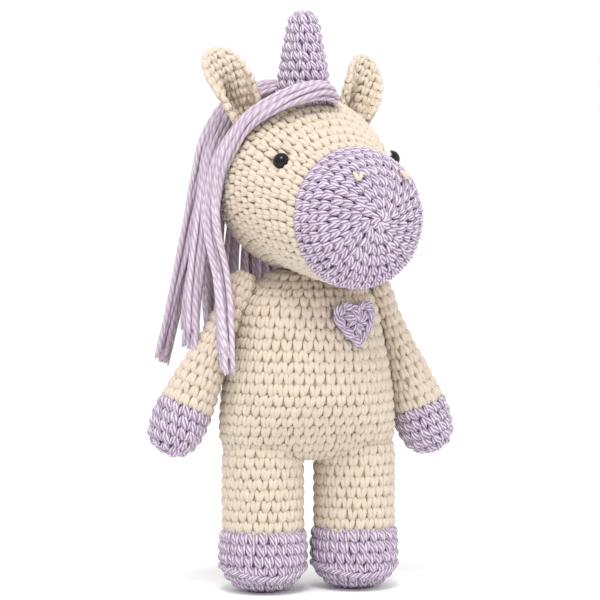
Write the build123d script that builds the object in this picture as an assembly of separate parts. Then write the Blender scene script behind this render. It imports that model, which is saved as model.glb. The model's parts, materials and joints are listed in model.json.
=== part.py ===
# Crocheted unicorn doll, standing. Millimetres, +Z up, the doll faces -Y, its left hand is at +X.
# The origin is on the floor, under the middle of the whole outline.
import os
from math import cos, radians, sin, sqrt

from build123d import *

os.makedirs("parts", exist_ok=True)

# ---- driving dimensions -------------------------------------------------------------------
BODY_BACK = 3.0           # the body's upright axis stands this far behind the origin
GAP = 0.6                 # room between soft pieces on different bodies
FABRIC = 3.0              # thickness of the crocheted fabric
SIDES = {"right": -1, "left": 1}

CROTCH_Z = 62.0
NECK_R, NECK_Z = 20.0, 146.0

HIP_X, HIP_Z, HIP_R = 22.5, 68.0, 18.0
LEG_R = 19.0
ANKLE_Z = 29.0            # height where the cream leg meets the lilac foot
LEG_SWINGS = (-15, 30)    # degrees back and forward

SHOULDER_X, SHOULDER_Z = 34.0, 141.0
ARM_SPLAY = 24.4          # degrees out from straight down
WRIST = 61.0              # distance down the arm to the lilac hand
HAND = 73.0               # distance down the arm to the middle of the hand
ARM_R, HAND_R = 6.0, 13.0
RECESS_R = 15.5           # flat place on the torso's side where an arm is sewn on
RECESS_X = 25.4

SKULL_R, SKULL_Z = 41.5, 193.0
HEAD_TURN = 19.0          # degrees the head is turned towards its own left
FACE_DROP, FACE_TAPER = 22.0, 16.0   # degrees: slope of the face's axis, and half angle of its cone
FACE_END = 43.0           # length of the face's cone from the middle of the skull
MUZZLE_R, MUZZLE_Z = 31.8, 178.0
MUZZLE_FORWARD = 40.0     # where the cream head meets the lilac muzzle
MUZZLE_BEND, MUZZLE_TIP = 50.0, 64.5

SEAM_R, SEAM_WIRE = 14.5, 0.9

EYE_FORWARD, EYE_SIDE = 25.2, 31.8
EYE_R, EYE_HEIGHT = 4.0, 3.2
EYE_STEM_R, EYE_STEM = 1.6, 12.0
WASHER_R, WASHER_T = 5.5, 1.4

NOSTRIL_R, NOSTRIL_LENGTH = 1.3, 2.8
NOSTRIL_FORWARD, NOSTRIL_OUT, NOSTRIL_ANGLE = 60.1, 23.9, 32.4

EAR_SIDE, EAR_BACK = 45.0, 4.0   # degrees out from the crown, and distance behind the middle
EAR_HEIGHT, EAR_WIDTH, EAR_THICK = 31.0, 24.0, 5.0

HORN_R, HORN_TIP_R, HORN_TOP_Z = 12.0, 6.0, 274.0

HEART_ANGLE, HEART_Z = 27.0, 126.0
HEART_R, HEART_THICK = 6.8, 4.0

MANE_THICK = 7.0
# hanks of mane yarn: (x, y, z, radius) down each hank, before the head is turned
FORELOCK = [(1, -25, 239, 4.5), (-18, -24, 236, 4.5), (-36, -12, 227, 4.5), (-48, -2, 208, 4.5),
            (-47, 10, 182, 4.5)]
FRONT_LOCK = [(-44, 12, 171, 4.5), (-45, 6, 146, 4.5), (-45.5, -3, 106, 4)]
SIDE_LOCK = [(-34, 23, 222, 5.5), (-38, 32, 203, 5.5), (-43, 35, 170, 6), (-49, 39, 137, 6), (-54, 42, 111, 5)]
BACK_LOCKS = {"right": -15, "middle": 0, "left": 15}
TAIL = [(0, 49, 82, 6), (0, 51, 64, 7), (0, 49, 38, 5)]
BOTTOM = (Align.CENTER, Align.CENTER, Align.MIN)


# ---- helpers --------------------------------------------------------------------------------
def lathe(edges):
    """Solid of revolution about Z, from edges in the XZ plane that run from the axis to the axis."""
    start, end = edges[0] @ 0, edges[-1] @ 1
    return revolve(make_face(Wire([*edges, Line(end, start)])), Axis.Z)


def chain(points):
    """Straight lines through (radius, height) points."""
    spots = [(r, 0, z) for r, z in points]
    return [Line(a, b) for a, b in zip(spots, spots[1:])]


def largest(shape):
    return max(shape.solids(), key=lambda s: s.volume)


def hank(points):
    """Row of cones with slightly proud balls at their joints, through (x, y, z, radius) points."""
    solid = Pos(*points[0][:3]) * Sphere(points[0][3] * 1.03)
    for (x0, y0, z0, r0), (x1, y1, z1, r1) in zip(points, points[1:]):
        along = Vector(x1 - x0, y1 - y0, z1 - z0)
        length = along.length
        run = Cylinder(r0, length, align=BOTTOM) if r0 == r1 else Cone(r0, r1, length, align=BOTTOM)
        solid += Plane((x0, y0, z0), z_dir=along) * run
        solid += Pos(x1, y1, z1) * Sphere(r1 * 1.03)
    return largest(solid)


# ---- torso and legs ---------------------------------------------------------------------------
def torso_shape(grow=0.0):
    g = grow
    points = [(0, CROTCH_Z - g), (31, CROTCH_Z - g), (39.2 + g, 67), (41.6 + g, 76), (41.0 + g, 90),
              (38.4 + g, 106), (35.0 + g, 120), (32.6 + g, 133), (27.6 + g, 141.2), (NECK_R + g, NECK_Z + g),
              (0, NECK_Z + g)]
    return lathe(chain(points))


def hip_socket(side, grow=0.0):
    return Pos(SIDES[side] * HIP_X, 0, HIP_Z) * Sphere(HIP_R + GAP + grow)


def arm_recess(side, grow=0.0):
    width = 40.0
    reach = RECESS_X - grow + width / 2
    return Pos(SIDES[side] * reach, 0, SHOULDER_Z) * Rot(0, 90, 0) * Cylinder(RECESS_R + grow, width)


def leg_shape(grow=0.0):
    """Leg above the ankle, with a ball at the hip."""
    leg_r, hip_r = LEG_R + grow, HIP_R + grow
    ankle, bend, hip = (leg_r, 0, ANKLE_Z), (leg_r, 0, 50), (hip_r, 0, HIP_Z)
    diagonal = hip_r * sqrt(0.5)
    ball = ThreePointArc(hip, (diagonal, 0, HIP_Z + diagonal), (0, 0, HIP_Z + hip_r))
    return lathe([Line((0, 0, ANKLE_Z), ankle), Line(ankle, bend), Line(bend, hip), ball])


def foot_shape(grow=0.0):
    g = grow
    points = [(0, -g), (11 + g, -g), (15.2 + g, 2.4 - g), (19.2 + g, 8), (20.4 + g, 14), (20.2 + g, 22),
              (19.0 + g, ANKLE_Z), (0, ANKLE_Z)]
    return lathe(chain(points))


def swung_leg(swing, grow=0.0):
    """Room that a leg takes when it is swung forward about its hip."""
    return Pos(0, 0, HIP_Z) * Rot(-swing, 0, 0) * Pos(0, 0, -HIP_Z) * leg_shape(GAP + grow)


def torso_pieces():
    outer, inner = torso_shape(), torso_shape(-FABRIC)
    for side, s in SIDES.items():
        outer -= hip_socket(side)
        outer -= arm_recess(side)
        for swing in LEG_SWINGS:
            outer -= Pos(s * HIP_X, 0, 0) * swung_leg(swing)
            inner -= Pos(s * HIP_X, 0, 0) * swung_leg(swing, 1.2)
        inner -= hip_socket(side, FABRIC)
        inner -= arm_recess(side, FABRIC)
    inner = largest(inner)
    return {"torso_cover": largest(outer - inner), "torso_stuffing": inner}


def leg_pieces(side):
    place = Pos(SIDES[side] * HIP_X, 0, 0)
    leg, leg_inside = leg_shape(), leg_shape(-FABRIC)
    foot, foot_inside = foot_shape(), foot_shape(-FABRIC)
    return {
        f"{side}_leg_cover": place * largest(leg - leg_inside),
        f"{side}_foot_cover": place * largest(foot - foot_inside),
        f"{side}_leg_stuffing": place * largest(leg_inside + foot_inside),
    }


# ---- arms -------------------------------------------------------------------------------------
def arm_shape(grow=0.0):
    """Arm along -Z from the origin: a narrow round root and a plump round hand."""
    root, hand = ARM_R + grow, HAND_R + grow
    slim = (root + 0.6, 0, -26)
    start, end = (root, 0, 0), (hand, 0, -HAND)
    cap = ThreePointArc((0, 0, root), (root * sqrt(0.5), 0, root * sqrt(0.5)), start)
    tip = ThreePointArc(end, (hand * sqrt(0.5), 0, -HAND - hand * sqrt(0.5)), (0, 0, -HAND - hand))
    return lathe([cap, Line(start, slim), Line(slim, end), tip])


def arm_pieces(side):
    s = SIDES[side]
    place = Pos(s * SHOULDER_X, 0, SHOULDER_Z) * Rot(0, -s * ARM_SPLAY, 0)
    outer, inner = arm_shape(), arm_shape(-FABRIC)
    cover = outer - inner
    hand_room = Pos(0, 0, -WRIST - 50) * Box(100, 100, 100)
    seam = Pos(s * (RECESS_X + SEAM_WIRE + 0.25), 0, SHOULDER_Z) * Rot(0, 90, 0) * Torus(9.0, SEAM_WIRE)
    return {
        f"{side}_arm_cover": place * largest(cover - hand_room),
        f"{side}_hand_cover": place * largest(cover & hand_room),
        f"{side}_arm_stuffing": place * largest(inner),
        f"{side}_shoulder_seam": seam,
    }


# ---- head, with its nose towards -Y before the turn ----------------------------------------------
FACE_FRAME = Pos(0, 0, SKULL_Z) * Rot(90 + FACE_DROP, 0, 0)   # +Z runs from the skull down the face
MUZZLE_FRAME = Pos(0, 0, MUZZLE_Z) * Rot(90, 0, 0)            # +Z runs straight out of the muzzle


def face_radius(along):
    """Radius of the face's cone, which is tangent to the skull."""
    taper = radians(FACE_TAPER)
    return (SKULL_R - along * sin(taper)) / cos(taper)


def head_shape(grow=0.0):
    """Round skull with a cone tangent to it, running into a blunt level muzzle."""
    skull, taper = SKULL_R + grow, radians(FACE_TAPER)
    leave = (skull * cos(taper), 0, skull * sin(taper))
    back = ThreePointArc((0, 0, -skull), (skull * sqrt(0.5), 0, -skull * sqrt(0.5)), leave)
    end = (face_radius(FACE_END) + grow / cos(taper), 0, FACE_END)
    face = FACE_FRAME * lathe([back, Line(leave, end), Line(end, (0, 0, FACE_END))])
    wide, start, tip = MUZZLE_R + grow, MUZZLE_FORWARD - 12, MUZZLE_TIP + grow
    bend, flat = (wide, 0, MUZZLE_BEND), (10 + grow, 0, tip)
    bulge = (NOSTRIL_OUT + 0.7 * grow, 0, NOSTRIL_FORWARD + 0.7 * grow)
    muzzle = lathe([Line((0, 0, start), (wide, 0, start)), Line((wide, 0, start), bend),
                    ThreePointArc(bend, bulge, flat), Line(flat, (0, 0, tip))])
    return face + MUZZLE_FRAME * muzzle


def eye_place(side):
    """Frame on the face's cone at an eye, +Z outwards."""
    drop, taper = radians(FACE_DROP), radians(FACE_TAPER)
    nose = Vector(0, -cos(drop), -sin(drop))
    side_by, forward = SIDES[side] * EYE_SIDE, -EYE_FORWARD
    height = SKULL_R / 2
    for _ in range(20):
        along = Vector(side_by, forward, height).dot(nose)
        height = sqrt(face_radius(along) ** 2 + along ** 2 - side_by ** 2 - forward ** 2)
    spot = Vector(side_by, forward, height)
    outward = (spot - nose * along).normalized() * cos(taper) + nose * sin(taper)
    return Plane(spot + Vector(0, 0, SKULL_Z), z_dir=outward)


def eye_pieces(side):
    place = eye_place(side)
    ball_r = (EYE_R ** 2 + EYE_HEIGHT ** 2) / (2 * EYE_HEIGHT)
    dome = Pos(0, 0, EYE_HEIGHT - ball_r) * Sphere(ball_r) & Pos(0, 0, 10) * Box(20, 20, 20)
    stem = Pos(0, 0, -EYE_STEM / 2) * Cylinder(EYE_STEM_R, EYE_STEM)
    washer = Pos(0, 0, -FABRIC - 2.5) * (Cylinder(WASHER_R, WASHER_T) - Cylinder(EYE_STEM_R, 5))
    return largest(place * (dome + stem)), largest(place * washer)


def nostril_stitch(side):
    """Short stitch of cream yarn high on the muzzle."""
    s, a = SIDES[side], radians(NOSTRIL_ANGLE)
    spot = Pos(s * NOSTRIL_OUT * sin(a), NOSTRIL_OUT * cos(a), NOSTRIL_FORWARD)
    half = NOSTRIL_LENGTH / 2
    stitch = Rot(0, 90, 0) * Cylinder(NOSTRIL_R, NOSTRIL_LENGTH)
    stitch += Pos(half, 0, 0) * Sphere(NOSTRIL_R) + Pos(-half, 0, 0) * Sphere(NOSTRIL_R)
    return MUZZLE_FRAME * spot * Rot(0, 0, -s * NOSTRIL_ANGLE) * stitch


def horn_shape(grow=0.0):
    base_z = SKULL_Z + SKULL_R - 4
    root, top = HORN_R + grow, HORN_TIP_R + grow
    tip_z = HORN_TOP_Z + grow
    points = [(0, base_z), (root, base_z), (top, tip_z - 3), (top - 2.5, tip_z), (0, tip_z)]
    return lathe(chain(points))


def ear(side):
    """Rounded leaf on a rolled hem that is clear of the skull."""
    s = SIDES[side]
    hem_r = EAR_THICK / 2
    a = radians(EAR_SIDE)
    half = EAR_WIDTH / 2
    hem_half = half * 0.62
    lean = EAR_SIDE * 0.6
    out = SKULL_R + GAP + hem_r + hem_half * sin(radians(EAR_SIDE - lean)) + 0.5
    shoulder, shoulder_z = half * 0.35, EAR_HEIGHT * 0.93
    right = ThreePointArc((hem_half, 0), (half, EAR_HEIGHT * 0.4), (shoulder, shoulder_z))
    top = ThreePointArc((shoulder, shoulder_z), (0, EAR_HEIGHT), (-shoulder, shoulder_z))
    left = ThreePointArc((-shoulder, shoulder_z), (-half, EAR_HEIGHT * 0.4), (-hem_half, 0))
    outline = make_face(Wire([right, top, left, Line((-hem_half, 0), (hem_half, 0))]))
    leaf = Rot(90, 0, 0) * Pos(0, 0, -hem_r) * extrude(outline, EAR_THICK)
    hem = Rot(0, 90, 0) * Cylinder(hem_r, 2 * hem_half)
    base = Pos(s * out * sin(a), EAR_BACK, SKULL_Z + out * cos(a))
    return base * Rot(0, s * lean, 0) * (hem + leaf)


def crown_mane():
    """Pad of yarn along the middle of the head, down the back from behind the horn."""
    pad = Sphere(SKULL_R + MANE_THICK) - Sphere(SKULL_R)
    band = Pos(0, 41, 31.5) * Box(32, 55, 76)
    return largest(Pos(0, 0, SKULL_Z) * (pad & band))


def back_lock(across):
    return hank([(across, 50, 178, 6), (across * 1.15, 50, 145, 6.5), (across, 46, 102, 5)])


def heart_patch():
    """Heart patch lying on the chest, square to the skin."""
    r = HEART_R
    lobes = Pos(-r, 4) * Circle(r) + Pos(r, 4) * Circle(r)
    chin = make_face(Polyline((-1.95 * r, 2.0), (0, -12.5), (1.95 * r, 2.0), (0, 5), close=True))
    depth = 12.0
    block = extrude(lobes + chin, depth)
    a = radians(HEART_ANGLE)
    outward = Vector(sin(a), -cos(a), 0.12)
    at = 34.6 + HEART_THICK - depth
    plane = Plane((sin(a) * at, -cos(a) * at, HEART_Z), x_dir=(cos(a), sin(a), 0), z_dir=outward)
    return largest(plane * block - torso_shape())


def head_pieces():
    skull, inside = head_shape(), head_shape(-FABRIC)
    cover = skull - inside
    stuffing = inside
    pieces = {}
    for side in SIDES:
        eye, washer = eye_pieces(side)
        pieces[f"{side}_eye"] = eye
        pieces[f"{side}_eye_washer"] = washer
        pieces[f"{side}_nostril_stitch"] = largest(nostril_stitch(side) - skull)
        pieces[f"{side}_ear"] = ear(side)
        cover -= eye
        stuffing -= eye
        stuffing -= washer
    front = Pos(0, -MUZZLE_FORWARD - 50, SKULL_Z) * Box(200, 100, 200)
    horn, horn_inside = horn_shape(), horn_shape(-FABRIC)
    pieces["head_cover"] = largest(cover - front)
    pieces["muzzle_cover"] = largest(cover & front)
    pieces["head_stuffing"] = largest(stuffing)
    pieces["horn_cover"] = largest(horn - horn_inside - skull)
    pieces["horn_stuffing"] = largest(horn_inside - skull)
    pieces["crown_mane"] = crown_mane()
    pieces["forelock"] = hank(FORELOCK)
    pieces["front_mane_lock"] = hank(FRONT_LOCK)
    pieces["side_mane_lock"] = hank(SIDE_LOCK)
    for name, across in BACK_LOCKS.items():
        pieces[f"{name}_back_mane_lock"] = back_lock(across)
    return pieces


# ---- the whole doll ---------------------------------------------------------------------------
def doll():
    pieces = torso_pieces()
    pieces["heart_patch"] = heart_patch()
    pieces["neck_seam"] = Pos(0, 0, NECK_Z + SEAM_WIRE + 0.3) * Torus(SEAM_R, SEAM_WIRE)
    pieces["tail"] = hank(TAIL)
    for side in SIDES:
        pieces.update(leg_pieces(side))
        pieces.update(arm_pieces(side))
    for name, piece in head_pieces().items():
        pieces[name] = Rot(0, 0, HEAD_TURN) * piece
    return {name: Pos(0, BODY_BACK, 0) * piece for name, piece in pieces.items()}


for node, solid in doll().items():
    export_step(solid, f"parts/{node}.step")
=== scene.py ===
import json
import math

import bpy
import numpy as np
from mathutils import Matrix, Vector


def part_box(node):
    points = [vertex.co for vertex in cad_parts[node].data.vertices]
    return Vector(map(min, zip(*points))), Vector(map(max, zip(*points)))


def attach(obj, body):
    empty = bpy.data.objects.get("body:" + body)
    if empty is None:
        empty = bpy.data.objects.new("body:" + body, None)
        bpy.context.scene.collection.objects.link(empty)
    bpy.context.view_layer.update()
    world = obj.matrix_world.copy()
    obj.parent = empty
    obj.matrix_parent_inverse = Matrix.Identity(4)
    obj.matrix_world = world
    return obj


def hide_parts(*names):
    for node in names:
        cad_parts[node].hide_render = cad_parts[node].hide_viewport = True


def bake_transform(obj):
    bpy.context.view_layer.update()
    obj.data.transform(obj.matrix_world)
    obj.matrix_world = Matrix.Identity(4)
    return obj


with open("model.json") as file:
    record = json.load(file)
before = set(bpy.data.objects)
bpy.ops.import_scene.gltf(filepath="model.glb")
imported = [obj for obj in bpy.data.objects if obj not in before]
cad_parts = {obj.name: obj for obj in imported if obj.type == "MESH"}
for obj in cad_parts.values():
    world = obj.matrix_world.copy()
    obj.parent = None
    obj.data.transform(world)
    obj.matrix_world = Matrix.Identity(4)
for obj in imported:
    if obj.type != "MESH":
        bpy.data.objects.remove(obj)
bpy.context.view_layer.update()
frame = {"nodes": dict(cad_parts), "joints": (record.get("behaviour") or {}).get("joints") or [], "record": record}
MM = 0.001

# ---- places, in millimetres, worked out from the frame -----------------------------------------
SIDES = {"right": -1, "left": 1}
SOLE = np.array(frame["record"]["mounts"][1]["pos_m"]) / MM
BODY_BACK, HIP_X = SOLE[1], SOLE[0]
HEAD_TURN = math.radians(19.0)
HEAD_LEAN = -1.2                  # sideways sag of the soft head
STITCH, ROUND = 5.0, 5.2          # width of a stitch and height of a round
YARN = 1.5                        # radius of the yarn where a stitch is fullest


def joint_at(name):
    found = [j for j in frame["joints"] if j["name"] == name][0]
    return np.array(found["pos_m"]) / MM


def in_head(points):
    """Points of the untwisted head, nose towards -Y, moved to where the turned head is."""
    p = np.asarray(points, float)
    c, s = math.cos(HEAD_TURN), math.sin(HEAD_TURN)
    x = p[..., 0] * c - p[..., 1] * s + HEAD_LEAN
    return np.stack([x, p[..., 0] * s + p[..., 1] * c + BODY_BACK, p[..., 2]], -1)


def in_body(points):
    return np.asarray(points, float) + np.array([0, BODY_BACK, 0])


def smooth_line(points, count):
    """Catmull-Rom curve through rows of numbers, evenly spaced by its first three columns."""
    p = np.asarray(points, float)
    p = np.vstack([2 * p[0] - p[1], p, 2 * p[-1] - p[-2]])
    rows = []
    for i in range(1, len(p) - 2):
        t = np.linspace(0, 1, 24, endpoint=i == len(p) - 3)[:, None]
        a, b, c, d = p[i - 1], p[i], p[i + 1], p[i + 2]
        rows.append(0.5 * (2 * b + (c - a) * t + (2 * a - 5 * b + 4 * c - d) * t ** 2
                           + (3 * b - a - 3 * c + d) * t ** 3))
    line = np.vstack(rows)
    run = np.concatenate([[0], np.cumsum(np.linalg.norm(np.diff(line[:, :3], axis=0), axis=1))])
    want = np.linspace(0, run[-1], count)
    return np.stack([np.interp(want, run, column) for column in line.T], -1)


# ---- camera, floor and lights --------------------------------------------------------------------
def aim(obj, target):
    obj.rotation_euler = (Vector(target) - obj.location).to_track_quat("-Z", "Y").to_euler()


def make_camera():
    data = bpy.data.cameras.new("camera")
    data.lens = 204
    data.clip_start = 0.05
    cam = bpy.data.objects.new("camera", data)
    bpy.context.scene.collection.objects.link(cam)
    azimuth, elevation, distance = math.radians(-15), math.radians(4.5), 1.61
    target = Vector((-0.0035, 0.003, 0.1375))
    offset = Vector((math.sin(azimuth) * math.cos(elevation), -math.cos(azimuth) * math.cos(elevation),
                     math.sin(elevation)))
    cam.location = target + offset * distance
    aim(cam, target)
    bpy.context.scene.camera = cam


def lamp(name, place, size, watts, colour=(1, 1, 1)):
    data = bpy.data.lights.new(name, "AREA")
    data.size, data.energy, data.color = size, watts, colour
    obj = bpy.data.objects.new(name, data)
    obj.location = place
    bpy.context.scene.collection.objects.link(obj)
    aim(obj, (0, 0, 0.14))


def make_studio():
    world = bpy.data.worlds.new("studio")
    world.use_nodes = True
    world.node_tree.nodes["Background"].inputs["Color"].default_value = (1, 1, 1, 1)
    world.node_tree.nodes["Background"].inputs["Strength"].default_value = 1.04
    bpy.context.scene.world = world
    bpy.context.scene.view_settings.view_transform = "Standard"
    lamp("key", (-0.25, -0.70, 1.35), 0.6, 13.0, (1.0, 0.985, 0.96))
    lamp("fill", (0.9, -0.7, 0.5), 0.8, 1.5)
    bpy.ops.mesh.primitive_plane_add(size=80, location=(0, 0, -0.0004))
    floor = bpy.context.object
    floor.name = "floor"
    paper = bpy.data.materials.new("paper")
    paper.use_nodes = True
    shader = paper.node_tree.nodes["Principled BSDF"]
    shader.inputs["Base Color"].default_value = (0.96, 0.96, 0.96, 1)
    shader.inputs["Roughness"].default_value = 0.9
    floor.data.materials.append(paper)


# ---- materials --------------------------------------------------------------------------------
def yarn_material(name, ply_highlight, mid, painted_shade, plies=4, bump=0.35, sheen=0.25):
    """Twisted yarn: slanting plies with painted highlights on their crests and painted shade between them, soft
    mottling, and painted shade where the yarn dives into the fabric.

    The map "yarn" holds turns of twist along the strand and turns round it. A diagonal wave has
    one period per 0.2 pi of the map, so the scale gives a whole number of plies.
    """
    mat = bpy.data.materials.new(name)
    mat.use_nodes = True
    nodes, links = mat.node_tree.nodes, mat.node_tree.links
    shader = nodes["Principled BSDF"]
    shader.inputs["Roughness"].default_value = 0.82
    shader.inputs["Sheen Weight"].default_value = sheen
    shader.inputs["Sheen Roughness"].default_value = 0.5
    shader.inputs["Specular IOR Level"].default_value = 0.25
    uv = nodes.new("ShaderNodeUVMap")
    uv.uv_map = "yarn"
    place = nodes.new("ShaderNodeMapping")
    place.inputs["Scale"].default_value = (0.2 * math.pi * plies, 0.2 * math.pi * plies, 1.0)
    links.new(uv.outputs["UV"], place.inputs["Vector"])
    wave = nodes.new("ShaderNodeTexWave")
    wave.wave_type, wave.bands_direction, wave.wave_profile = "BANDS", "DIAGONAL", "SIN"
    wave.inputs["Scale"].default_value = 1.0
    wave.inputs["Distortion"].default_value = 1.6
    wave.inputs["Detail"].default_value = 2.0
    wave.inputs["Detail Scale"].default_value = 1.5
    links.new(place.outputs["Vector"], wave.inputs["Vector"])
    coords = nodes.new("ShaderNodeTexCoord")
    fluff = nodes.new("ShaderNodeTexNoise")
    fluff.inputs["Scale"].default_value = 2600.0
    fluff.inputs["Detail"].default_value = 3.0
    links.new(coords.outputs["Object"], fluff.inputs["Vector"])
    mottle = nodes.new("ShaderNodeTexNoise")
    mottle.inputs["Scale"].default_value = 260.0
    links.new(coords.outputs["Object"], mottle.inputs["Vector"])
    shade_and_tone = nodes.new("ShaderNodeAttribute")
    shade_and_tone.attribute_name = "shade_and_tone"
    # Painted highlights: the slanting ply bands mix the groove colour towards a lighter crest colour, standing in for
    # light on the ply crests and shade in the grooves between them.
    ply_highlight_mix = nodes.new("ShaderNodeMix")
    ply_highlight_mix.data_type = "RGBA"
    ply_highlight_mix.inputs["A"].default_value = (*mid, 1)
    ply_highlight_mix.inputs["B"].default_value = (*ply_highlight, 1)
    links.new(wave.outputs["Fac"], ply_highlight_mix.inputs["Factor"])
    patch_mix = nodes.new("ShaderNodeMix")
    patch_mix.data_type, patch_mix.blend_type = "RGBA", "MULTIPLY"
    patch_mix.inputs["Factor"].default_value = 0.22
    links.new(ply_highlight_mix.outputs["Result"], patch_mix.inputs["A"])
    links.new(mottle.outputs["Fac"], patch_mix.inputs["B"])
    # Painted shade: the per-vertex value from the mesh mixes the yarn towards a darker colour where the yarn dives into
    # the fabric and on the sheet behind the stitches. This stands in for shade in the gaps, and a small random part of
    # it is real tone.
    painted_shade_mix = nodes.new("ShaderNodeMix")
    painted_shade_mix.data_type = "RGBA"
    painted_shade_mix.inputs["B"].default_value = (*painted_shade, 1)
    links.new(patch_mix.outputs["Result"], painted_shade_mix.inputs["A"])
    links.new(shade_and_tone.outputs["Fac"], painted_shade_mix.inputs["Factor"])
    links.new(painted_shade_mix.outputs["Result"], shader.inputs["Base Color"])
    add = nodes.new("ShaderNodeMath")
    add.operation = "MULTIPLY_ADD"
    add.inputs[1].default_value = 0.5
    links.new(fluff.outputs["Fac"], add.inputs[0])
    links.new(wave.outputs["Fac"], add.inputs[2])
    relief = nodes.new("ShaderNodeBump")
    relief.inputs["Strength"].default_value = bump
    relief.inputs["Distance"].default_value = 0.0004
    links.new(add.outputs["Value"], relief.inputs["Height"])
    links.new(relief.outputs["Normal"], shader.inputs["Normal"])
    return mat


def moulded_plastic(name, colour, roughness, coat):
    mat = bpy.data.materials.new(name)
    mat.use_nodes = True
    nodes, links = mat.node_tree.nodes, mat.node_tree.links
    shader = nodes["Principled BSDF"]
    shader.inputs["Coat Weight"].default_value = coat
    shader.inputs["Coat Roughness"].default_value = 0.03
    shader.inputs["Specular IOR Level"].default_value = 0.25
    noise = nodes.new("ShaderNodeTexNoise")
    noise.inputs["Scale"].default_value = 900.0
    ramp = nodes.new("ShaderNodeMapRange")
    ramp.inputs["To Min"].default_value = roughness * 0.7
    ramp.inputs["To Max"].default_value = roughness * 1.4
    links.new(noise.outputs["Fac"], ramp.inputs["Value"])
    links.new(ramp.outputs["Result"], shader.inputs["Roughness"])
    tint = nodes.new("ShaderNodeMix")
    tint.data_type = "RGBA"
    tint.inputs["A"].default_value = (*colour, 1)
    tint.inputs["B"].default_value = (*[c * 0.8 for c in colour], 1)
    links.new(noise.outputs["Fac"], tint.inputs["Factor"])
    links.new(tint.outputs["Result"], shader.inputs["Base Color"])
    return mat


# Each yarn gets a ply crest colour (painted highlight), a groove colour, and a darker colour for painted shade in the
# gaps between stitches.
CREAM = yarn_material("cream_yarn", (0.715, 0.625, 0.525), (0.67, 0.575, 0.475), (0.57, 0.44, 0.315), bump=0.25, sheen=0.1)
LILAC = yarn_material("lilac_yarn", (0.80, 0.71, 0.80), (0.29, 0.21, 0.34), (0.10, 0.06, 0.14), plies=5, sheen=0.1)
MANE = yarn_material("mane_yarn", (0.78, 0.69, 0.76), (0.50, 0.405, 0.51), (0.28, 0.18, 0.30), plies=3, sheen=0.1)
BLACK = moulded_plastic("eye_black", (0.003, 0.002, 0.003), 0.08, 0.1)
WASHER = moulded_plastic("washer_plastic", (0.85, 0.85, 0.82), 0.45, 0.0)


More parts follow.
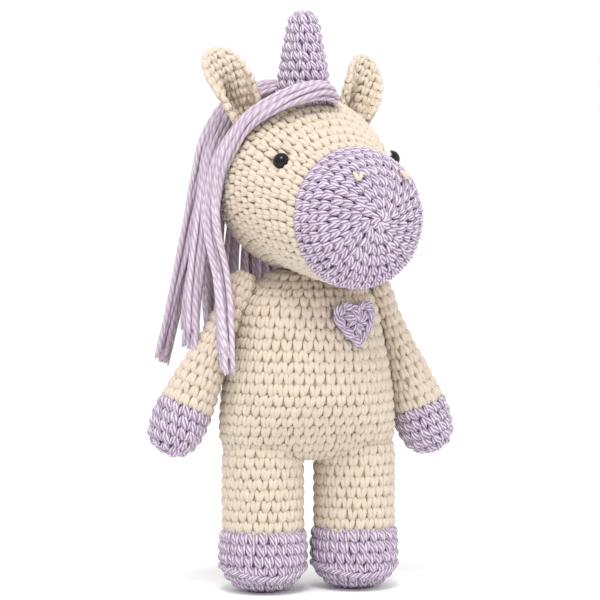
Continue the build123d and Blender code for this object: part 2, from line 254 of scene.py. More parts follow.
# ---- yarn meshes --------------------------------------------------------------------------------
class Yarn:
    """Gathers yarn tubes and the fabric behind them, and makes one mesh of them."""

    def __init__(self):
        self.verts, self.faces, self.uvs, self.tones, self.slots = [], [], [], [], []
        self.count = 0

    def add(self, verts, quads, uv, shade_and_tone, slot):
        self.verts.append(verts)
        self.faces.append(quads + self.count)
        self.uvs.append(uv)
        self.tones.append(shade_and_tone)
        self.slots.append(np.broadcast_to(slot, len(quads)))
        self.count += len(verts)

    def tubes(self, paths, radii, normals, tones, slots, sides=8, pitch=15.0):
        """paths (n, m, 3), radii and tones (n, m), normals (n, m, 3), slots (n)."""
        n, m, _ = paths.shape
        along = np.gradient(paths, axis=1)
        along /= np.linalg.norm(along, axis=2, keepdims=True) + 1e-9
        out = normals - (normals * along).sum(2, keepdims=True) * along
        out /= np.linalg.norm(out, axis=2, keepdims=True) + 1e-9
        across = np.cross(along, out)
        turn = np.arange(sides) * 2 * np.pi / sides
        ring = (np.cos(turn)[:, None] * out[:, :, None, :] + np.sin(turn)[:, None] * across[:, :, None, :])
        verts = (paths[:, :, None, :] + radii[:, :, None, None] * ring).reshape(-1, 3)
        index = np.arange(n * m * sides).reshape(n, m, sides)
        nxt = np.roll(index, -1, axis=2)
        quads = np.stack([index[:, :-1], nxt[:, :-1], nxt[:, 1:], index[:, 1:]], -1).reshape(-1, 4)
        run = np.concatenate([np.zeros((n, 1)), np.cumsum(np.linalg.norm(np.diff(paths, axis=1), axis=2), 1)], 1)
        u = np.broadcast_to((run / pitch)[:, :, None], (n, m, sides))
        v = np.broadcast_to(np.arange(sides) / sides, (n, m, sides))
        u0, u1, v0 = u[:, :-1], u[:, 1:], v[:, :-1]
        step = 1 / sides
        uv = np.stack([np.stack([u0, v0], -1), np.stack([u0, v0 + step], -1), np.stack([u1, v0 + step], -1),
                       np.stack([u1, v0], -1)], -2).reshape(-1, 2)
        shade_and_tone = np.broadcast_to(tones[:, :, None], (n, m, sides)).reshape(-1)
        slot = np.broadcast_to(np.asarray(slots)[:, None, None], (n, m - 1, sides)).reshape(-1)
        self.add(verts, quads, uv, shade_and_tone, slot)

    def skin(self, grid, shade_and_tone, slot_rows):
        """Closed fabric behind the stitches, darkened as painted shade: grid (rounds, around, 3), with its ends drawn
        together.
        """
        rows, around, _ = grid.shape
        index = np.arange(rows * around).reshape(rows, around)
        nxt = np.roll(index, -1, axis=1)
        quads = np.stack([index[:-1], nxt[:-1], nxt[1:], index[1:]], -1).reshape(-1, 4)
        slots = np.repeat(slot_rows[:-1], around)
        self.add(grid.reshape(-1, 3), quads, np.zeros((len(quads) * 4, 2)), np.full(rows * around, shade_and_tone), slots)

    def build(self, name, materials, place):
        verts = place(np.concatenate(self.verts)) * MM
        faces = np.concatenate(self.faces)
        mesh = bpy.data.meshes.new(name)
        mesh.vertices.add(len(verts))
        mesh.vertices.foreach_set("co", verts.astype(np.float32).ravel())
        mesh.loops.add(faces.size)
        mesh.loops.foreach_set("vertex_index", faces.astype(np.int32).ravel())
        mesh.polygons.add(len(faces))
        mesh.polygons.foreach_set("loop_start", np.arange(0, faces.size, 4, dtype=np.int32))
        mesh.polygons.foreach_set("material_index", np.concatenate(self.slots).astype(np.int32))
        mesh.polygons.foreach_set("use_smooth", np.ones(len(faces), bool))
        layer = mesh.uv_layers.new(name="yarn")
        layer.data.foreach_set("uv", np.concatenate(self.uvs).astype(np.float32).ravel())
        shade_and_tone = mesh.attributes.new("shade_and_tone", "FLOAT", "POINT")
        shade_and_tone.data.foreach_set("value", np.concatenate(self.tones).astype(np.float32))
        for material in materials:
            mesh.materials.append(material)
        mesh.update(calc_edges=True)
        mesh.validate()
        obj = bpy.data.objects.new(name, mesh)
        bpy.context.scene.collection.objects.link(obj)
        return obj


class Surface:
    """Tube-like surface through sections (centre x, y, z, half width, half depth)."""

    def __init__(self, sections, e1, e2, bend=None, count=240):
        line = smooth_line([[*s[:3], *s[3:]] for s in sections], count) if len(sections[0]) == 5 else sections
        profile = np.stack([*line.T[:3], line[:, 3], line[:, 4]], -1)
        self.rows = profile
        self.e1, self.e2, self.bend = np.array(e1, float), np.array(e2, float), bend
        theta = np.linspace(0, 2 * np.pi, 24, endpoint=False)
        grid = self.place(profile[:, None, :], theta[None, :])
        steps = np.linalg.norm(np.diff(grid, axis=0), axis=2).mean(1)
        self.run = np.concatenate([[0], np.cumsum(steps)])
        self.length = self.run[-1]
        edge = np.linalg.norm(np.roll(grid, -1, axis=1) - grid, axis=2).sum(1)
        self.edge = edge

    def place(self, rows, theta):
        centre = rows[..., :3]
        p = centre + (rows[..., 3] * np.cos(theta))[..., None] * self.e1
        p = p + (rows[..., 4] * np.sin(theta))[..., None] * self.e2
        return self.bend(p, rows, theta) if self.bend else p

    def at(self, s, theta):
        rows = np.stack([np.interp(s, self.run, column) for column in self.rows.T], -1)
        return self.place(rows, theta)

    def normal(self, s, theta):
        ds, dt = 0.4, 0.02
        along = self.at(np.clip(s + ds, 0, self.length), theta) - self.at(np.clip(s - ds, 0, self.length), theta)
        around = self.at(s, theta + dt) - self.at(s, theta - dt)
        n = np.cross(around, along)
        size = np.linalg.norm(n, axis=-1, keepdims=True)
        return n / np.maximum(size, 1e-9)

    def around(self, s):
        return np.interp(s, self.run, self.edge)


def crochet(yarn, surface, seed, slot_of, start=0.0, end=None, width=STITCH, height=ROUND, size=YARN,
            outward=1.0, relief=(1.0, 1.0)):
    """Rounds of single crochet: each stitch is a V of two plump legs."""
    rng = np.random.default_rng(seed)
    end = surface.length if end is None else end
    rounds = max(int(round((end - start) / height)), 1)
    height = (end - start) / rounds
    legs = 7
    t = np.linspace(0, 1, legs)
    lean_in = 0.08 + 0.25 * t
    rise = -0.04 + 1.03 * t
    lift = -0.62 + 0.95 * np.sin(np.pi * np.clip(t * 0.94 + 0.04, 0, 1)) ** 0.8
    fat = 0.72 + 0.31 * np.sin(np.pi * t) ** 0.7
    turn = np.linspace(0, 2 * np.pi, 97)
    for i in range(rounds):
        middle = start + (i + 0.5) * height
        count = max(int(round(surface.around(middle) / width)), 5)
        arc = np.linalg.norm(np.diff(surface.at(np.full(97, middle), turn), axis=0), axis=1)
        arc = np.concatenate([[0], np.cumsum(arc)]) / arc.sum()
        middles = (np.arange(count)[:, None] + 0.37 * i + 0.25 * rng.random()) / count
        colours = slot_of(middle, 2 * np.pi * middles[:, 0])
        for hand in (-1, 1):
            jitter = rng.normal(0, 0.04, (count, 1))
            tilt = rng.normal(0.07, 0.07, (count, 1)) * (t[None, :] - 0.5)
            part = middles + (hand * lean_in[None, :] + tilt + jitter) / count
            theta = 2 * np.pi * np.floor(part) + np.interp(part - np.floor(part), arc, turn)
            s = start + (i + rise[None, :] + rng.normal(0, 0.045, (count, 1))) * height
            s = np.clip(np.broadcast_to(s, theta.shape), 0, surface.length)
            n = surface.normal(s, theta) * outward
            grow = 1 + rng.normal(0, 0.07, (count, 1))
            depth = np.asarray(relief)[colours][:, None]
            path = surface.at(s, theta) + n * ((lift[None, :] * grow * depth - size * 0.72)[..., None])
            scale = min(1.0, surface.around(middle) / count / width + 0.08)
            radii = size * fat[None, :] * grow * scale
            # Painted shade: each leg is darker at both ends, where it dives into the fabric, plus a random tone per
            # stitch.
            shade_and_tone = np.clip(0.42 - 0.50 * np.sin(np.pi * t) ** 0.6, 0, 1)[None, :] + rng.random((count, 1)) * 0.14
            yarn.tubes(path, radii, n, shade_and_tone, colours, sides=7)


def backing(yarn, surface, slot_of, inset=1.55, outward=1.0, around=48, rows=70):
    s = np.linspace(0, surface.length, rows)
    theta = np.linspace(0, 2 * np.pi, around, endpoint=False)
    grid_s, grid_t = np.meshgrid(s, theta, indexing="ij")
    grid = surface.at(grid_s, grid_t) - surface.normal(grid_s, grid_t) * outward * inset
    grid[0] = grid[0].mean(0)
    grid[-1] = grid[-1].mean(0)
    slots = np.array([int(slot_of(value, np.zeros(1))[0]) for value in s])
    # Painted shade: the sheet behind the stitches gets one fixed dark value, standing in for the shade in the holes
    # between stitches.
    yarn.skin(grid if outward > 0 else grid[:, ::-1], 0.7, slots)


def one_colour(s, theta):
    return np.zeros(len(theta), int)


def facing(surface):
    """+1 if the surface's computed normals already point away from its middle line."""
    s, theta = np.array([surface.length / 2]), np.array([0.3])
    row = np.array([np.interp(s[0], surface.run, column) for column in surface.rows.T])
    away = surface.at(s, theta)[0] - row[:3]
    return 1.0 if surface.normal(s, theta)[0] @ away > 0 else -1.0


def knitted(name, surface, materials, seed, slot_of=one_colour, place=in_body, **options):
    yarn = Yarn()
    outward = facing(surface)
    backing(yarn, surface, slot_of, outward=outward)
    crochet(yarn, surface, seed, slot_of, outward=outward, **options)
    return yarn.build(name, materials, place)


def pad(obj, slot, fill, *nodes):
    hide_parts(*nodes)
    return obj


# ---- torso, legs and arms ---------------------------------------------------------------------
X, Y, Z = (1, 0, 0), (0, 1, 0), (0, 0, 1)


def make_torso():
    def fill_corners(p, rows, theta):
        low = np.clip((88 - rows[..., 2]) / 26, 0, 1)
        grow = 1 + 0.5 * low * (p[..., 0] / 41.5) ** 2
        return np.stack([p[..., 0], p[..., 1] * grow, p[..., 2]], -1)

    sections = [(0, 0, 62.5, 6, 3), (0, 0, 62.7, 28, 10), (0, 0, 65, 37, 14.5), (0, 0, 70, 41.0, 19.5), (0, 0, 76, 41.9, 25),
                (0, 0, 84, 41.6, 31), (0, 0, 94, 40.6, 35), (0, 0, 106, 38.8, 34.6), (0, 0, 120, 36.0, 32),
                (0, 0, 133, 34, 29), (0, 0, 141.2, 30, 26), (0, 0, 147, 23, 20), (0, 0, 151, 17, 16.5),
                (0, 0, 153, 6, 5.5)]
    obj = knitted("torso_knit", Surface(sections, X, Y, bend=fill_corners), [CREAM], 11)
    pad(obj, "cream_yarn", 0.9, "torso_cover", "torso_stuffing")
    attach(obj, "torso")


def make_leg(side):
    x = SIDES[side] * HIP_X + 0.8
    leg = [(x, 0, 27, 15, 15), (x, 0, 28.5, 18.6, 18.6), (x, 0, 40, 19, 19), (x, 0, 55, 19, 19), (x, 0, 66, 18.6, 18.6),
           (x, 0, 74, 15, 15), (x, 0, 77, 5, 5)]
    obj = knitted(f"{side}_leg_knit", Surface(leg, X, Y), [CREAM], 21 + SIDES[side])
    pad(obj, "cream_yarn", 0.9, f"{side}_leg_cover", f"{side}_leg_stuffing")
    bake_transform(obj)
    foot = [(x, 0, 0.9, 1, 1), (x, 0, 0.9, 8.5, 9), (x, 0, 3.0, 13.8, 14.6), (x, 0, 8.0, 18.2, 19.2),
            (x, 0, 14, 20.2, 20.9), (x, 0, 22, 20.3, 20.6), (x, 0, 29, 18.9, 18.9), (x, 0, 30.2, 14, 14)]
    yarn = Yarn()
    surface = Surface(foot, X, Y)
    outward = facing(surface)
    backing(yarn, surface, one_colour, outward=outward)
    crochet(yarn, surface, 31 + SIDES[side], one_colour, outward=outward, relief=(1.5,))
    sole_ridge(yarn, x)
    obj = yarn.build(f"{side}_foot_knit", [LILAC], in_body)
    pad(obj, "lilac_yarn", 0.95, f"{side}_foot_cover")
    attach(obj, f"{side}_leg")


def ring_of_loops(yarn, point, out, stitches, size, length):
    """Ring of slanting loops; point(turn, along) gives places and out(turn) the way outwards."""
    t = np.linspace(0, 1, 8)
    turn = (np.arange(stitches)[:, None] + t[None, :] * 1.4 - 0.2) / stitches
    bulge = np.sin(np.pi * t)[None, :] + 0 * turn
    normals = out(turn)
    path = point(turn, (t[None, :] - 0.5) * length) + normals * (0.8 * bulge - 0.6)[..., None]
    radii = size * (0.6 + 0.4 * bulge ** 0.6)
    # Painted shade: each loop is darker at its ends, where it dives into the fabric.
    yarn.tubes(path, radii, normals, 0.4 - 0.4 * bulge, np.zeros(stitches, int))


def sole_ridge(yarn, x):
    """Rim of the sole, lower at the toe and heel than at the sides."""
    def point(turn, along):
        a = 2 * np.pi * turn
        wide = 19.5 + 0.7 * np.cos(a) ** 2
        return np.stack([x + wide * np.cos(a), (wide + 0.6) * np.sin(a), 7.6 + 4.0 * np.cos(a) ** 2 + along], -1)

    def out(turn):
        a = 2 * np.pi * turn
        return np.stack([np.cos(a), np.sin(a), 0 * a], -1)

    ring_of_loops(yarn, point, out, 26, 1.15, 2.2)


def make_arm(side):
    s = SIDES[side]
    splay = math.radians({"right": 25.4, "left": 20.8}[side])
    root = np.array([s * 34.0, 0, 141.0])
    down = np.array([s * math.sin(splay), 0, -math.cos(splay)])
    across = np.array([math.cos(splay), 0, s * math.sin(splay)])
    shape = [(-11.0, 1.5, 4), (-9.6, 4.4, 7.6), (-6, 6.0, 9.8), (0, 6.8, 10.6), (12, 6.6, 10.9), (26, 7.8, 11.0), (39, 10.0, 11.6), (53, 12.0, 12.6),
             (62, 12.9, 13.0), (69, 12.9, 13.0), (76, 11.0, 11.2), (80.6, 7.0, 7.2), (82.4, 1, 1)]
    sections = [(*(root + down * d), a, b) for d, a, b in shape]
    surface = Surface(sections, across, Y)
    wrist = surface.run[np.argmin(np.linalg.norm(surface.rows[:, :3] - (root + down * 57), axis=1))]

    def hand(at, theta):
        return (at + 2.4 * np.cos(theta - 0.6) > wrist).astype(int)

    obj = knitted(f"{side}_arm_knit", surface, [CREAM, LILAC], 41 + s, slot_of=hand, relief=(1.0, 1.5))
    pad(obj, "cream_yarn", 0.8, f"{side}_arm_cover", f"{side}_hand_cover", f"{side}_arm_stuffing")
    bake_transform(obj)
    yarn = Yarn()

    def point(turn, along):
        a = 2 * np.pi * turn[..., None]
        ring = root + np.cos(a) * 5.4 * np.array([0, 0, 1.0]) + np.sin(a) * 8.6 * np.array([0, 1.0, 0])
        return ring + np.array([s, 0, 0]) * (along[..., None] - 8.2)

    def out(turn):
        a = 2 * np.pi * turn
        return np.stack([0 * a, np.sin(a), np.cos(a)], -1)

    ring_of_loops(yarn, point, out, 12, 0.8, 1.5)
    seam = yarn.build(f"{side}_shoulder_stitches", [CREAM], in_body)
    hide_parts(f"{side}_shoulder_seam")
    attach(seam, f"{side}_shoulder")


# ---- head -------------------------------------------------------------------------------------
HEAD = [(64.6, 1, 1, 178), (64.0, 10, 10, 178), (61.6, 20.2, 20.2, 178), (58.3, 26.2, 26, 178), (53.5, 30.2, 30, 178),
        (47, 32.3, 31.9, 178.1), (40, 33.0, 32.4, 178.9), (32, 35.2, 34.5, 181.9), (23, 38.4, 37.3, 186.2),
        (13, 40.9, 40.0, 190.4), (4, 41.6, 41.3, 192.9), (-6, 41.1, 41.1, 193), (-18, 37.4, 37.4, 193),
        (-30, 28.7, 28.7, 193), (-38, 16.6, 16.6, 193), (-41.2, 4, 4, 193), (-41.4, 1, 1, 193)]


def to_head(point):
    """The reverse of in_head for one point."""
    x, y = point[0] - HEAD_LEAN, point[1] - BODY_BACK
    c, s = math.cos(HEAD_TURN), math.sin(HEAD_TURN)
    return np.array([x * c + y * s, -x * s + y * c, point[2]])


def head_surface():
    """Head along the nose, drawn in round the eyes by their washers."""
    eyes = []
    for side in SIDES:
        low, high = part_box(f"{side}_eye")
        at = to_head((np.array(low) + np.array(high)) / 2 / MM)
        away = at - np.array([0, at[1], 186.0])
        away /= np.linalg.norm(away)
        eyes.append((at + away * 4.0, away))

    def draw_in(p, rows, theta):
        for at, away in eyes:
            far = np.linalg.norm(p - at, axis=-1)
            p = p - (2.6 * np.exp(-(far / 6.5) ** 2))[..., None] * away
        return p

    return Surface([(-1.1 * max(f, 0) / 60, -f, z, a, b) for f, a, b, z in HEAD], X, Z, bend=draw_in)


def make_head():
    surface = head_surface()
    ring = surface.run[np.argmin(np.abs(surface.rows[:, 1] + 40.5))]

    def face(at, theta):
        return (at + 1.0 * np.sin(theta * 3) > ring).astype(int)

    obj = knitted("head_knit", surface, [LILAC, CREAM], 51, slot_of=face, place=in_head,
                  relief=(1.5, 1.0))
    pad(obj, "cream_yarn", 1.0, "head_cover", "muzzle_cover", "head_stuffing")
    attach(obj, "head")


def make_nostril(side):
    """Two short strands of cream yarn in a V on the muzzle."""
    low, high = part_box(f"{side}_nostril_stitch")
    middle = (np.array(low) + np.array(high)) / 2 / MM - [0, BODY_BACK, 0]
    nose = np.array([math.sin(HEAD_TURN), -math.cos(HEAD_TURN), 0])
    across = np.array([math.cos(HEAD_TURN), math.sin(HEAD_TURN), 0])
    sideways = SIDES[side] * 0.32 * across
    out = 0.81 * nose + sideways + np.array([0, 0, 0.50])
    out /= np.linalg.norm(out)
    up = np.array([0, 0, 1.0]) - out[2] * out
    up /= np.linalg.norm(up)
    over = np.cross(up, out)
    t = np.linspace(0, 1, 8)
    yarn = Yarn()
    for hand in (-1, 1):
        path = middle + out * (0.3 + 0.9 * np.sin(np.pi * t))[:, None] + up * (4.0 * t - 2.0)[:, None]
        path = path + over * (hand * (0.4 + 1.5 * t))[:, None]
        radii = 1.05 * (0.6 + 0.4 * np.sin(np.pi * t) ** 0.6)
        yarn.tubes(path[None], radii[None], np.broadcast_to(out, (1, 8, 3)), 0.1 + 0 * radii[None], np.zeros(1, int))
    obj = yarn.build(f"{side}_nostril_yarn", [CREAM], in_body)
    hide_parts(f"{side}_nostril_stitch")
    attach(obj, "head")


def make_neck():
    """Overcast stitches that sew the head to the neck."""
    low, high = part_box("neck_seam")
    middle = (np.array(low) + np.array(high)) / 2 / MM - [0, BODY_BACK, 0]
    radius = (high[0] - low[0]) / 2 / MM - 1.0

    def point(turn, along):
        a = 2 * np.pi * turn
        return middle + np.stack([radius * np.cos(a), radius * np.sin(a), along + 0 * a], -1)

    def out(turn):
        a = 2 * np.pi * turn
        return np.stack([np.cos(a), np.sin(a), 0 * a], -1)

    yarn = Yarn()
    ring_of_loops(yarn, point, out, 26, 1.0, 2.4)
    obj = yarn.build("neck_stitches", [CREAM], in_body)
    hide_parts("neck_seam")
    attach(obj, "neck")


def make_horn():
    shape = [(273.4, 1), (272.6, 4.6), (269, 6.6), (262, 8.2), (252, 9.9), (243, 11.3), (235, 12.6), (231, 13.0),
             (230, 6)]
    surface = Surface([(-0.9, 0, z, r, r) for z, r in shape], X, Y)
    obj = knitted("horn_knit", surface, [LILAC], 61, place=in_head, width=5.2, height=4.6, size=1.4,
                  relief=(1.7,))
    pad(obj, "lilac_yarn", 0.9, "horn_cover", "horn_stuffing")
    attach(obj, "head")


def make_ear(side):
    s = SIDES[side]
    hem = joint_at(f"{side}_ear_fold")
    lean = math.radians({"right": 28.0, "left": 27.0}[side])
    shift = {"right": (0.0, 0.0), "left": (6.5, 4.0)}[side]
    local = np.array([hem[0] - shift[0], hem[1] - BODY_BACK, hem[2] - shift[1]])
    c, w = math.cos(-HEAD_TURN), math.sin(-HEAD_TURN)
    base = np.array([local[0] * c - local[1] * w, local[0] * w + local[1] * c, local[2]])
    up = np.array([s * math.sin(lean), 0, math.cos(lean)])
    across = np.array([math.cos(lean), 0, -s * math.sin(lean)])
    shape = [(-3.5, 4, 1.4), (-2.2, 8.6, 2.3), (4, 11.2, 2.4), (11, 12.4, 2.4), (19, 11.9, 2.4), (26, 9.8, 2.3), (31.0, 6.2, 2.0),
             (33.4, 1, 0.8)]

    def cup(p, rows, theta):
        off = rows[..., 3] * np.cos(theta)
        high = (p - base) @ up
        edge = np.clip(np.abs(off) / 11.0, 0, 1.3)
        deep = (10.5 - 0.22 * high) * edge ** 1.7 - 2.6
        pinch = -0.30 * np.clip(1.05 - high / 28, 0, 1) * off * edge ** 2
        fold = 6.0 * np.exp(-(off / 2.8) ** 2) * np.clip(1.2 - np.abs(high - 7) / 12, 0, 1)
        return p + (fold - deep)[..., None] * np.array([0, 1.0, 0]) + pinch[..., None] * across

    surface = Surface([(*(base + up * d), a, b) for d, a, b in shape], across, Y, bend=cup)
    obj = knitted(f"{side}_ear_knit", surface, [CREAM], 71 + s, place=in_head, width=4.4, height=4.5, size=1.25)
    pad(obj, "cream_yarn", 0.2, f"{side}_ear")
    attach(obj, f"{side}_ear")


# ---- mane and tail ------------------------------------------------------------------------------
def hank(yarn, guide, strands, spread, seed, twist=0.0, ends=(0.0, 1.0), radius=1.3, wander=0.35, points=46):
    """Loose strands of yarn round a guide line of (x, y, z, half width, half depth) rows."""
    rng = np.random.default_rng(seed)
    line = smooth_line(guide, points)
    along = np.gradient(line[:, :3], axis=0)
    along /= np.linalg.norm(along, axis=1, keepdims=True)
    out = line[:, :3] - np.array([0, 0, 1.0]) * line[:, 2:3]
    lifted = line[:, :3] - np.array([0, 0, 193.0])
    out = np.where(line[:, 2:3] > 193, lifted, out)
    out -= (out * along).sum(1, keepdims=True) * along
    out /= np.linalg.norm(out, axis=1, keepdims=True)
    across = np.cross(along, out)
    t = np.linspace(0, 1, points)
    paths, radii, tones, normals = [], [], [], []
    swap = rng.permutation(strands)
    blend = t * t * (3 - 2 * t)
    for k in range(strands):
        spot = []
        for j in (k, 0.5 * (k + swap[k])):
            angle = 2.399 * (j + 0.5) * (1 + 0.02 * rng.normal())
            far = math.sqrt((j + 0.5) / strands)
            spot.append((far, angle))
        far = spot[0][0] + (spot[1][0] - spot[0][0]) * blend
        turn = spot[0][1] + math.remainder(spot[1][1] - spot[0][1], 2 * math.pi) * blend + twist * t
        sway = np.sin(t * rng.uniform(3, 7) + rng.uniform(0, 6)) * wander * 2.2
        lift = np.sin(t * rng.uniform(4, 9) + rng.uniform(0, 6)) * wander
        a = far * np.cos(turn) * line[:, 3] * spread + sway
        b = far * np.sin(turn) * line[:, 4] * spread + lift
        path = line[:, :3] + across * a[:, None] + out * b[:, None]
        reach = rng.uniform(*ends) if ends[1] != 1.0 or ends[0] != 0.0 else 1.0
        keep = np.linspace(0, reach, points)
        path = np.stack([np.interp(keep, t, path[:, i]) for i in range(3)], -1)
        paths.append(path)
        radii.append(radius * (1 + 0.05 * np.sin(t * 40 + k)) * rng.uniform(0.92, 1.08) * np.ones(points))
        tones.append(np.full(points, rng.uniform(0.0, 0.42)))
        normals.append(out + 0.001)
    yarn.tubes(np.array(paths), np.array(radii), np.array(normals), np.array(tones), np.zeros(strands, int),
               sides=9, pitch=14.0)
    tips(yarn, np.array(paths), np.array(normals), radius, rng)


def tips(yarn, paths, normals, radius, rng):
    """Cut end of each strand, with its plies opening out."""
    last = paths[:, -1]
    way = paths[:, -1] - paths[:, -3]
    way /= np.linalg.norm(way, axis=1, keepdims=True)
    side = np.cross(way, normals[:, -1])
    side /= np.linalg.norm(side, axis=1, keepdims=True)
    front = np.cross(side, way)
    t = np.linspace(-0.6, 1, 6)
    for ply in range(4):
        a = ply * np.pi / 2 + rng.uniform(0, 1, (len(last), 1))
        off = radius * (0.45 + 0.30 * np.clip(t, 0, 1)[None, :])
        spot = last[:, None, :] + way[:, None, :] * (t * rng.uniform(1.8, 3.0, (len(last), 1)))[..., None]
        spot = spot + side[:, None, :] * (off * np.cos(a))[..., None] + front[:, None, :] * (off * np.sin(a))[..., None]
        radii = np.broadcast_to(radius * 0.55 * (1 - 0.75 * np.clip(t, 0, 1) ** 3)[None, :], spot.shape[:2])
        tones = np.broadcast_to(0.15, spot.shape[:2])
        yarn.tubes(spot, radii, np.broadcast_to(front[:, None, :], spot.shape), tones, np.zeros(len(last), int),
                   sides=6, pitch=14.0)


FORELOCK = [(7, -13, 231.5, 2.5, 1.8), (3.5, -17, 235, 4, 2.6), (-4, -19, 237, 5, 3.2), (-14, -18.5, 235.5, 5.5, 3.4),
            (-26, -14, 230.5, 5.2, 3.4), (-36.5, -6, 222, 4.8, 3.4), (-43.5, 2, 206, 5, 3), (-44.5, 9, 190, 5.5, 3),
            (-45, 10, 172, 6, 3), (-44.8, 3, 148, 5.5, 3), (-45, 0, 126, 5, 3), (-45.3, -2, 104, 5, 3)]
TEMPLE_LOCK = [(-3, 9, 238, 3, 2.5), (-15, 12.5, 237, 4.5, 2.6), (-28, 16, 230.5, 5, 2.8), (-37, 18, 217, 5.5, 3),
               (-42, 19, 203, 6, 3), (-44, 20, 186, 6.5, 3), (-46, 21, 165, 6.5, 3.2), (-49.5, 21, 140, 6.5, 3.2),
               (-52, 20, 112, 6, 3)]
SIDE_LOCK = [(-2, 12, 237.5, 3, 2.5), (-13, 18, 236.5, 5, 3), (-25.5, 23, 230, 6, 3.2), (-34.5, 28, 215, 6.5, 3.2),
             (-38, 32, 196, 7, 3.2), (-42, 35, 170, 8, 3.5), (-48, 38, 137, 9, 3.5), (-54.5, 41, 109, 8.5, 3)]
BACK_ACROSS = (-15, 0, 15)


def make_forelock():
    yarn = Yarn()
    hank(yarn, FORELOCK, 16, 1.0, 81, twist=3.2, wander=0.5, ends=(0.92, 1.0), radius=1.2)
    obj = yarn.build("forelock_yarn", [MANE], in_head)
    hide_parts("forelock", "front_mane_lock")
    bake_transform(obj)


def make_side_lock():
    yarn = Yarn()
    hank(yarn, SIDE_LOCK, 21, 1.0, 82, twist=0.7, ends=(0.92, 1.0), wander=0.9, radius=1.2)
    hank(yarn, TEMPLE_LOCK, 15, 1.0, 88, twist=0.6, ends=(0.90, 1.0), wander=0.9, radius=1.2)
    obj = yarn.build("side_lock_yarn", [MANE], in_head)
    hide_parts("side_mane_lock")
    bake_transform(obj)


def make_back_mane():
    yarn = Yarn()
    for k, across in enumerate(BACK_ACROSS):
        guide = [(across * 0.5, 12, 236, 6, 2), (across * 0.75, 25, 230, 8, 2.6), (across * 0.95, 37, 218, 9, 3),
                 (across, 45, 202, 9, 3), (across, 49, 182, 8.5, 3.6), (across * 1.1, 51, 160, 8.5, 4),
                 (across * 1.15, 51.5, 140, 8.5, 4), (across * 1.05, 51, 120, 8, 4), (across, 50, 101, 7, 3.5)]
        hank(yarn, guide, 15, 1.0, 83 + k, twist=0.5, ends=(0.93, 1.0), wander=0.6)
    obj = yarn.build("back_mane_yarn", [MANE], in_head)
    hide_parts("crown_mane", "right_back_mane_lock", "middle_back_mane_lock", "left_back_mane_lock")
    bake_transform(obj)


def make_tail():
    yarn = Yarn()
    guide = [(0, 27, 86, 1.5, 1.5), (0, 34, 86.5, 2.5, 2.5), (0, 42, 85, 4, 3), (0, 48, 79, 5.5, 4.5), (0, 50, 64, 6.5, 5.5),
             (0, 49, 50, 6, 5), (0, 48, 37, 5, 4)]
    hank(yarn, guide, 16, 1.0, 91, twist=0.8, ends=(0.9, 1.0))
    obj = yarn.build("tail_yarn", [MANE], in_body)
    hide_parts("tail")
    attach(obj, "tail")


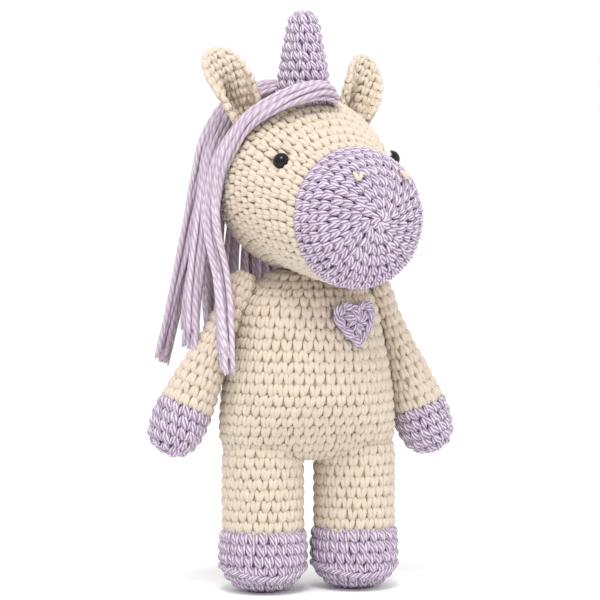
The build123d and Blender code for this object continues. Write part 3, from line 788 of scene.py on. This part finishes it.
# ---- heart --------------------------------------------------------------------------------------
def make_heart():
    """Heart worked in rounds, with a chain round its edge, lying on the chest."""
    low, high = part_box("heart_patch")
    middle = (np.array(low) + np.array(high)) / 2 / MM - [0, BODY_BACK, 0]
    angle = math.atan2(middle[0], -middle[1])
    out = np.array([math.sin(angle), -math.cos(angle), 0.10])
    out /= np.linalg.norm(out)
    across = np.array([math.cos(angle), math.sin(angle), 0])
    up = np.cross(out, across)
    centre = np.array([0, 0, middle[2]]) + np.array([math.sin(angle), -math.cos(angle), 0]) * 32.5 + up * 2.6

    def outline(theta, k):
        x = 11.6 * np.sin(theta) ** 3
        y = 9.6 * np.cos(theta) - 3.4 * np.cos(2 * theta) - 1.4 * np.cos(3 * theta) + 0.4
        return x * k, y * k

    def point(k, theta, lift):
        x, y = outline(theta, k)
        drop = (x ** 2) / 66.0
        return centre + across * x[..., None] + up * y[..., None] + out * (lift - drop)[..., None]

    yarn = Yarn()
    theta = np.linspace(0, 2 * np.pi, 72, endpoint=False)
    grid = np.stack([point(k * np.ones_like(theta), theta, lift * np.ones_like(theta))
                     for k, lift in ((0.02, 2.0), (0.5, 2.0), (0.97, 1.4), (1.0, 0.3), (0.9, -0.9), (0.02, -0.9))])
    # Painted shade: the sheet under the heart's stitches gets one fixed dark value.
    yarn.skin(grid, 0.6, np.zeros(6, int))
    rng = np.random.default_rng(95)
    t = np.linspace(0, 1, 8)
    count = 9
    mid = (np.arange(count) + 0.5) * 2 * np.pi / count
    for hand in (-1, 1):
        around = mid[:, None] + hand * (0.05 + 0.30 * t[None, :]) * 2 * np.pi / count
        k = (0.04 + 0.66 * t[None, :]) * np.ones_like(around)
        path = point(k, around, 1.9 + 1.0 * np.sin(np.pi * t)[None, :] * np.ones_like(around))
        radii = 1.35 * (0.6 + 0.4 * np.sin(np.pi * t) ** 0.6)[None, :] * np.ones_like(around)
        # Painted shade: darker at both ends of each stitch, where it dives into the fabric, plus a random tone per
        # stitch.
        shade_and_tone = (0.42 - 0.42 * np.sin(np.pi * t))[None, :] + rng.random((count, 1)) * 0.12
        yarn.tubes(path, radii, np.broadcast_to(out, path.shape), shade_and_tone, np.zeros(count, int))
    count = 15
    start = (np.arange(count) + 0.3) * 2 * np.pi / count
    for hand in (-1, 1):
        around = start[:, None] + (t[None, :] * 1.25 - 0.12) * 2 * np.pi / count
        k = 0.90 + hand * 0.10 * np.sin(np.pi * t)[None, :] * np.ones_like(around)
        path = point(k, around, 1.9 + 1.1 * np.sin(np.pi * t)[None, :] * np.ones_like(around))
        radii = 1.5 * (0.55 + 0.45 * np.sin(np.pi * t) ** 0.6)[None, :] * np.ones_like(around)
        # Painted shade: darker at both ends of each stitch, where it dives into the fabric, plus a random tone per
        # stitch.
        shade_and_tone = (0.40 - 0.40 * np.sin(np.pi * t))[None, :] + rng.random((count, 1)) * 0.12
        yarn.tubes(path, radii, np.broadcast_to(out, path.shape), shade_and_tone, np.zeros(count, int))
    obj = yarn.build("heart_knit", [LILAC], in_body)
    pad(obj, "lilac_yarn", 0.3, "heart_patch")
    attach(obj, "torso")


# ---- carried CAD pieces -------------------------------------------------------------------------
def dress(node, material, smooth=True):
    mesh = frame["nodes"][node].data
    mesh.materials.clear()
    mesh.materials.append(material)
    if smooth:
        mesh.polygons.foreach_set("use_smooth", np.ones(len(mesh.polygons), bool))


make_camera()
make_studio()
make_torso()
make_head()
make_horn()
make_heart()
for side_name in SIDES:
    make_leg(side_name)
    make_arm(side_name)
    make_ear(side_name)
    dress(f"{side_name}_eye", BLACK)
    dress(f"{side_name}_eye_washer", WASHER)
    make_nostril(side_name)
make_neck()
make_forelock()
make_side_lock()
make_back_mane()
make_tail()
